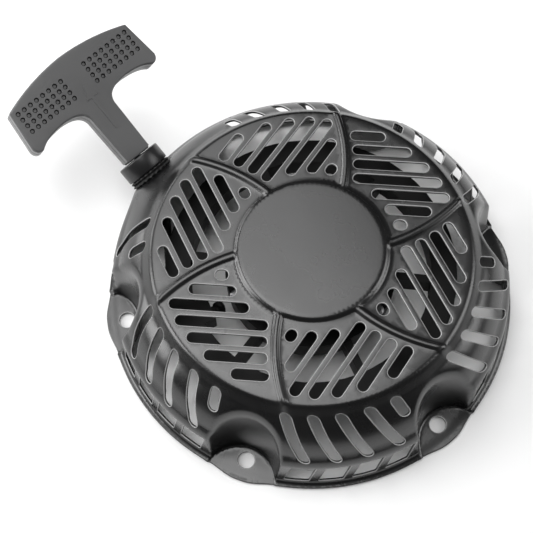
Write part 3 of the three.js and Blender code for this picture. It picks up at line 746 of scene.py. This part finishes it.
# %% [markdown]
# ## Cover: the finished pressing
# Guide points lie close together where the steel bends: at the pad's step, the fold,
# the shoulder, the ribs and around every ear.

# %% Cover
def ring_cloud(lengths, spacing, low=0.0, high=2 * math.pi):
    cloud = []
    for i, length in enumerate(lengths):
        radius = float(np.interp(length, LENGTH, SECTION[:, 0]))
        count = max(int((high - low) * radius / spacing), 6)
        angle = low + (np.arange(count) + 0.5 * (i % 2)) * (high - low) / count
        cloud.append(in_plan(np.full(count, length), angle))
    return np.concatenate(cloud)


def length_at(radius, height):
    return LENGTH[np.argmin(np.hypot(SECTION[:, 0] - radius, SECTION[:, 1] - height))]


def cover_cloud():
    bends = [LENGTH[i] for i in range(1, len(LENGTH)) if LENGTH[i] < LENGTH[-1] - 10]
    coarse = [length for length in np.arange(3, 150, 2.6)
              if min(abs(length - b) for b in bends) > 1.0]
    pad = [length for length in coarse if length < 36][::3]
    rest = [length for length in coarse if length > 36]
    spaced, last = [], -9.0
    for b in bends:
        if b - last > 0.45:
            spaced.append(b)
            last = b
    foot = length_at(111.0, 6.5)
    clouds = [ring_cloud(pad, 8), ring_cloud(rest, 2.6), ring_cloud(spaced, 2.6),
              ring_cloud(np.arange(foot, LENGTH[-1] - 8, 0.85), 1.1)]
    ear_lengths = np.arange(SKIRT_START + 1, 155, 1.15)
    for ear in EARS:
        a = math.radians(ear)
        clouds.append(ring_cloud(ear_lengths, 1.3, a - 0.235, a + 0.235))
    cloud = np.concatenate(clouds)
    reach, degrees = np.hypot(*cloud.T), np.degrees(np.arctan2(cloud[:, 1], cloud[:, 0]))
    radius = np.interp(reach, LENGTH, SECTION[:, 0])
    off_rib = np.full(len(cloud), 99.0)
    for k in range(RIB_COUNT):
        off = (degrees - rib_angle(k, radius) + 180) % 360 - 180
        off_rib = np.minimum(off_rib, np.abs(np.radians(off)) * radius)
    clouds = [cloud[(off_rib > 3.6) | (radius < 41.2) | (radius > 84.8)]]
    for k in range(RIB_COUNT):
        for off in (-3.0, -2.3, -1.6, -0.9, 0, 0.9, 1.6, 2.3, 3.0):
            radius = np.arange(41.6, 84.7, 1.2)
            angle = np.radians(rib_angle(k, radius)) + off / radius
            start = LENGTH[np.searchsorted(-SECTION[:, 1], -FOLD_HEIGHT - 1e-6)]
            start_r = np.interp(start, LENGTH, SECTION[:, 0])
            clouds.append(in_plan(start + radius - start_r, angle))
    outlet_angles = math.radians(76), math.radians(142)
    clouds.append(ring_cloud(np.arange(SKIRT_START - 2, 150, 1.4), 1.6, *outlet_angles))
    cloud = np.concatenate(clouds)
    order = np.random.default_rng(3).permutation(len(cloud))
    cell = {}
    for i in order[::-1]:
        cell[tuple(np.floor(cloud[i] / 0.55).astype(int))] = i
    return cloud[sorted(cell.values())]


outer = in_plan(*flange_edge(EDGE))
plan, faces, rings = net(outer, [in_plan(*loop) for loop in holes], cover_cloud())


def lift_cover(plan_points):
    return surface(np.hypot(*plan_points.T), np.arctan2(plan_points[:, 1], plan_points[:, 0]))


points, all_faces, painted_highlight_faces = sheet_piece(plan, faces, rings, lift_cover, SHEET)
points[:, 2] = np.maximum(points[:, 2], 0.02)
cover = piece("cover_pressing", points, all_faces, FINISH["painted_steel"], "housing",
              "painted_steel", "cover", sharp=50)
# the rounded cut edges take the painted highlight colour
cover.data.materials.append(FINISH["painted_highlight_edge"])
for i in painted_highlight_faces:
    cover.data.polygons[i].material_index = 1
print("cover:", len(points), "points", len(all_faces), "faces")

# %% [markdown]
# ## Rope guide and seal
# A hard black ring caps the outlet, and the rope runs through its rounded bore. Between
# the ring and the pressed face sits a soft seal with small ribs that glint a little.

# %% Rope guide
points, all_faces = lathe_rope([(5.4, -7), (8.7, -7), (9.1, -6.6), (9.1, 3.8), (12.5, 3.8), (12.95, 3.95),
                                (13.2, 4.4), (13.2, 12.6), (13.1, 13.1), (12.8, 13.45), (12.3, 13.6),
                                (11.2, 13.6), (10.9, 13.3), (5.2, 13.3), (4.2, 13.1), (3.5, 12.6),
                                (3.2, 11.6), (3.2, -3.6), (3.6, -5.2), (4.4, -6.5)])
piece("rope_guide_ring", points, all_faces, FINISH["black_plastic"], "housing", "black_plastic",
      "rope_guide")


def seal_rib(along, angle):
    return 0.55 * math.sin(22 * angle) * (1 if along > 0.6 else 0)


points, all_faces = lathe_rope([(9.6, 0.25), (12.6, 0.25), (12.9, 0.7), (12.2, 1.3), (11.6, 1.7),
                                (12.2, 2.2),
                                (12.7, 2.7), (12.2, 3.3), (11.2, 3.55), (9.6, 3.55)], 264, seal_rib)
piece("guide_seal_ribbed", points, all_faces, FINISH["seal_rubber"], "housing", "seal_rubber", "guide_seal")
print("guide and seal made")

# %% [markdown]
# ## Pull handle
# A T-shaped grip moulded in two halves, so its side shows a parting groove and a fine
# line under each face. The front and the back carry two fields of small round dimples
# with polished walls coloured near black as painted shade, and a plain arrow along the stem shows the way
# to pull.

# %% Pull handle
THICK = 16.0
STEM_HALF, STEM_LONG, ARM_LOW = 7.8, 31.5, 39.4
GRIP_HALF, GRIP_FLARE, CROWN = 41.9, 44.8, 69.3
END_LOW, END_HIGH = 38.6, 61.4
DIMPLE_ROWS = (58.2, 54.3, 50.4, 46.5)
DIMPLE_COLUMNS = np.linspace(8.3, 38.4, 8)
DIMPLE_RADIUS = 1.25


def bezier(*controls, count=12):
    t = np.linspace(0, 1, count, endpoint=False)[:, None]
    c = [np.array(p, float) for p in controls]
    if len(c) == 3:
        return (1 - t) ** 2 * c[0] + 2 * t * (1 - t) * c[1] + t * t * c[2]
    return (1 - t) ** 3 * c[0] + 3 * t * (1 - t) ** 2 * c[1] + 3 * t * t * (1 - t) * c[2] + t ** 3 * c[3]


def straight(start, end, step=1.6):
    count = max(int(math.dist(start, end) / step), 1)
    t = np.arange(count)[:, None] / count
    return np.array(start) * (1 - t) + np.array(end) * t


def grip_outline():
    """The right half of the T from the stem's end to the crown, mirrored to a loop."""
    neck = STEM_HALF + 0.6
    half = np.concatenate([
        straight((0, 0), (STEM_HALF - 1, 0)),
        bezier((STEM_HALF - 1, 0), (STEM_HALF, 0), (STEM_HALF, 1), count=4),
        straight((STEM_HALF, 1), (neck, STEM_LONG)),
        bezier((neck, STEM_LONG), (neck + 0.6, STEM_LONG + 4.5), (neck + 4, ARM_LOW - 0.3),
               (neck + 14, ARM_LOW)),
        bezier((neck + 14, ARM_LOW), (GRIP_HALF - 7, ARM_LOW - 0.4), (GRIP_FLARE - 5.2, ARM_LOW - 4.4)),
        bezier((GRIP_FLARE - 5.2, ARM_LOW - 4.4), (GRIP_FLARE - 1, ARM_LOW - 5.4),
               (GRIP_FLARE, END_LOW), count=8),
        straight((GRIP_FLARE, END_LOW), (GRIP_HALF + 0.08, END_HIGH - 0.7)),
        bezier((GRIP_HALF + 0.08, END_HIGH - 0.7), (GRIP_HALF, END_HIGH),
               (GRIP_HALF - 0.8, END_HIGH + 0.4), count=4),
        bezier((GRIP_HALF - 0.8, END_HIGH + 0.4), (GRIP_HALF / 2, CROWN - 0.4), (0, CROWN), count=30)])
    other = half[1:][::-1] * (-1, 1)
    return np.concatenate([half, [(0, CROWN)], other])


def inset(loop, distance):
    """The loop moved inwards, with mitred corners."""
    before, after = np.roll(loop, 1, axis=0), np.roll(loop, -1, axis=0)
    n1 = np.stack([-(loop - before)[:, 1], (loop - before)[:, 0]], axis=1)
    n2 = np.stack([-(after - loop)[:, 1], (after - loop)[:, 0]], axis=1)
    n1 /= np.linalg.norm(n1, axis=1, keepdims=True)
    n2 /= np.linalg.norm(n2, axis=1, keepdims=True)
    middle = n1 + n2
    middle /= (middle * n1).sum(1, keepdims=True)
    return loop + middle * distance


def grip_net():
    edge = inset(grip_outline(), 1.0)
    dimples = [(side * w, u) for u in DIMPLE_ROWS for w in DIMPLE_COLUMNS for side in (1, -1)]
    rings = [circle_loop(w, u, DIMPLE_RADIUS * f, 12) for w, u in dimples for f in (1.18, 1.0, 0.66)]
    middles = np.array(dimples)
    grid = np.stack(np.meshgrid(np.arange(-45, 46, 3.2), np.arange(2, 70, 3.2)), axis=-1).reshape(-1, 2)
    grid = grid[inside_loop(grid, edge)]
    grid = clear_of(grid, [edge, *rings], 1.2)
    return edge, np.concatenate([grid, middles, *rings]), middles


edge, cloud, dimples = grip_net()
plan, faces, rings = net(edge, [], cloud, gap=0.05)


def lift_grip(plan_points):
    gap_to = np.linalg.norm(plan_points[:, None] - dimples[None], axis=2).min(1)
    depth = 1.1 * smoothstep((DIMPLE_RADIUS * 1.14 - gap_to) / (DIMPLE_RADIUS * 0.48))
    return np.column_stack([plan_points[:, 0], plan_points[:, 1] + HANDLE_START, THICK / 2 - depth])


GRIP_EDGE = [(0.3, 0.02), (0.6, 0.15), (0.8, 0.4), (0.85, 0.8), (0.35, 1.0), (0.35, 1.5), (1.0, 1.8),
             (1.0, 7.6), (0.5, 7.7), (0.5, 8.3), (1.0, 8.4), (1.0, 14.9), (0.85, 15.4),
             (0.5, 15.8), (0.2, 15.96)]


def closed_grip():
    """Front and mirrored back with dimples, joined by the stepped side."""
    front = lift_grip(plan)
    count = len(front)
    back = front * (1, 1, -1)
    points = list(front) + list(back)
    down = np.tile((0.0, 0.0, 1.0), (count, 1))
    far = [r + count for r in rings[0]]
    new, quads = edge_strip(front, down, rings[0], GRIP_EDGE, True, 2 * count, far)
    all_faces = [tuple(f) for f in faces] + [tuple(f[::-1] + count) for f in faces] + quads
    return rope_place(np.array(points + new)), all_faces


points, all_faces = closed_grip()
grip = piece("handle_t_grip", points, all_faces, FINISH["grip_plastic"], "handle", "grip_plastic",
             "handle_grip")
grip.data.materials.append(FINISH["dimple_painted_shade"])
middle = plan[faces].mean(1)
from_middle = np.linalg.norm(middle[:, None] - dimples[None], axis=2).min(1) / DIMPLE_RADIUS
# faces on the dimple walls get the painted shade colour
dimple_painted_shade_faces = (from_middle > 0.6) & (from_middle < 1.05)
for i in np.flatnonzero(np.concatenate([dimple_painted_shade_faces, dimple_painted_shade_faces])):
    grip.data.polygons[int(i)].material_index = 1

arrow = np.array([(-1.0, 20), (1.0, 20), (1.0, 41), (3.9, 41), (0, 49), (-3.9, 41), (-1.0, 41)])
low, high = THICK / 2 - 0.1, THICK / 2 + 0.3
corners = [(w, u + HANDLE_START, h) for h in (low, high) for w, u in arrow]
n = len(arrow)
arrow_faces = [tuple(range(n))[::-1], tuple(range(n, 2 * n))]
arrow_faces += [(i, (i + 1) % n, (i + 1) % n + n, i + n) for i in range(n)]
piece("handle_pull_arrow", rope_place(corners), arrow_faces, FINISH["grip_plastic"], "handle",
      "grip_plastic")
print("dimples on each side:", len(dimples))

# %% [markdown]
# ## Rope
# The cord is a black braid: strands cross in two directions, so its skin is a net of
# small diamonds. It is laid as a tube whose radius follows that net. Two turns lie on
# the reel and a third lies over them; from there the taut end runs round the guide's
# mouth into the handle. The straight end is made at its pulled length with even
# diamonds and then drawn together, so the braid looks right when the handle is out.

# %% Rope
REEL_RUN = 77.2
KNOT_RADIUS = 4.2
GRIP_SEAT = HANDLE_START + CROWN - 16
DIAMOND = 3.2


def braid(along, angle, wave=math.pi / DIAMOND):
    """Depth of the braid's skin at a length along the cord and an angle round it."""
    crossing = np.abs(np.sin(4 * angle + wave * along) * np.sin(4 * angle - wave * along))
    return 0.34 * (np.sqrt(crossing) - 1)


def cord(path, radius=ROPE_RADIUS, sides=24, along=None, closed=False):
    """A braided tube along a path of points (mm); returns its points and faces."""
    path = np.asarray(path, float)
    if closed:
        tangent = np.roll(path, -1, axis=0) - np.roll(path, 1, axis=0)
    else:
        tangent = np.gradient(path, axis=0)
    tangent /= np.linalg.norm(tangent, axis=1, keepdims=True)
    step = np.linalg.norm(np.diff(path, axis=0), axis=1)
    if along is None:
        along = np.concatenate([[0], np.cumsum(step)])
    side = np.cross(tangent[0], (0.13, 0.2, 1.0))
    points = []
    turn = 2 * math.pi * np.arange(sides) / sides
    for place, t, length in zip(path, tangent, along):
        side = side - t * np.dot(side, t)
        side /= np.linalg.norm(side)
        other = np.cross(t, side)
        r = radius + braid(length, turn)
        points.append(place + r[:, None] * (np.outer(np.cos(turn), side) + np.outer(np.sin(turn), other)))
    faces = ring_faces(len(path), sides, closed)
    if not closed:
        last = (len(path) - 1) * sides
        faces += [tuple(range(sides))[::-1], tuple(range(last, last + sides))]
    return np.concatenate(points), faces


def joined(*parts):
    points, faces = [], []
    for some_points, some_faces in parts:
        faces += [tuple(i + len(points) for i in face) for face in some_faces]
        points += list(some_points)
    return np.array(points), faces


def circle_path(radius, height, degrees):
    a = np.radians(degrees)
    return np.stack([radius * np.cos(a), radius * np.sin(a), height + 0 * a], axis=1)


turns = np.linspace(0, 716, 900)
height = 23.6 + 4.8 * smoothstep((turns - 345) / 30)
first_turns = circle_path(71.7, height, 163 + turns)
count = round(2 * math.pi * REEL_RUN / DIAMOND) * 3
over_turn = circle_path(REEL_RUN, 26.0 + np.zeros(count), 360 * np.arange(count) / count)
even = np.arange(count) * round(2 * math.pi * REEL_RUN / DIAMOND) * DIAMOND / count
points, all_faces = joined(cord(first_turns), cord(over_turn, along=even, closed=True))
piece("rope_winding_braided", points, all_faces, FINISH["rope_braid"], "reel_body", "rope_braid",
      "rope_winding", sharp=80)

bend_depth = (OUTLET_PLACE[2] - 26.0) / math.sin(PULL_TILT)
bend, bend_end, mouth = rope_place([(0, -bend_depth, 0), (0, 5 - bend_depth, 0), (0, 1, 0)])
leave_at = math.atan2(bend[1], bend[0]) + math.acos(REEL_RUN / math.hypot(bend[0], bend[1]))
leave = np.array((REEL_RUN * math.cos(leave_at), REEL_RUN * math.sin(leave_at), 26.0))
bend_start = bend - (bend - leave) / np.linalg.norm(bend - leave) * 5
path = np.concatenate([straight(leave, bend_start, 0.9), bezier(bend_start, bend, bend_end, count=12),
                       straight(bend_end, mouth, 0.9), [mouth]])
points, all_faces = cord(path)
piece("rope_run_to_outlet", points, all_faces, FINISH["rope_braid"], "housing", "rope_braid",
      "rope_run", sharp=80)

BLEND_LONG = 65.0
END_AT = GRIP_SEAT + 1.9
fine = np.linspace(0, 1, 4001)
pulled = BLEND_LONG * fine + PULL_TRAVEL * smoothstep(fine)
pulled_long = np.arange(0, BLEND_LONG + PULL_TRAVEL, 1.0)
rest_along = 1 + BLEND_LONG * np.interp(pulled_long, pulled, fine)
tail = np.arange(1 + BLEND_LONG, END_AT, 1.0)[1:]
rest_along = np.concatenate([rest_along, tail])
braid_along = np.concatenate([pulled_long, PULL_TRAVEL + tail - 1])
line = rope_place(np.stack([0 * rest_along, rest_along, 0 * rest_along], axis=1))
rings_of = cord(line, along=braid_along, sides=20)
rope_end = piece("rope_end_to_handle", *rings_of, FINISH["rope_braid"], None, "rope_braid", None, sharp=80)
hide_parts("rope_run")
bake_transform(rope_end)


def knot(centre_at, axes, size):
    """A pulled-tight stopper knot: the cord wound through itself."""
    t = 2 * math.pi * np.arange(120) / 120
    ring = size * (0.38 + 0.2 * np.cos(3 * t))
    shape = np.stack([ring * np.cos(2 * t), ring * np.sin(2 * t), size * 0.34 * np.sin(3 * t)], axis=1)
    return cord(centre_at + shape @ axes, radius=size * 0.42, sides=16, closed=True)


points, all_faces = knot(rope_place([(0, END_AT + 0.3 + KNOT_RADIUS, 0)])[0], ROPE_AXES, KNOT_RADIUS)
piece("handle_stopper_knot", points, all_faces, FINISH["rope_braid"], "handle", "rope_braid",
      "handle_knot", sharp=80)

inward = np.array((math.cos(math.radians(163)), math.sin(math.radians(163)), 0))
sideways = np.array((-inward[1], inward[0], 0))
points, all_faces = joined(
    knot(inward * 54.5 + (0, 0, 26), np.array((sideways, (0, 0, 1), inward)), KNOT_RADIUS),
    cord(straight(inward * 55 + (0, 0, 26), inward * 68.7 + (0, 0, 26), 0.9)))
piece("rope_anchor_knot", points, all_faces, FINISH["rope_braid"], "reel_body", "rope_braid",
      "rope_anchor", sharp=80)
print("braided cord laid; pulled length (mm):", round(float(pulled_long[-1])))
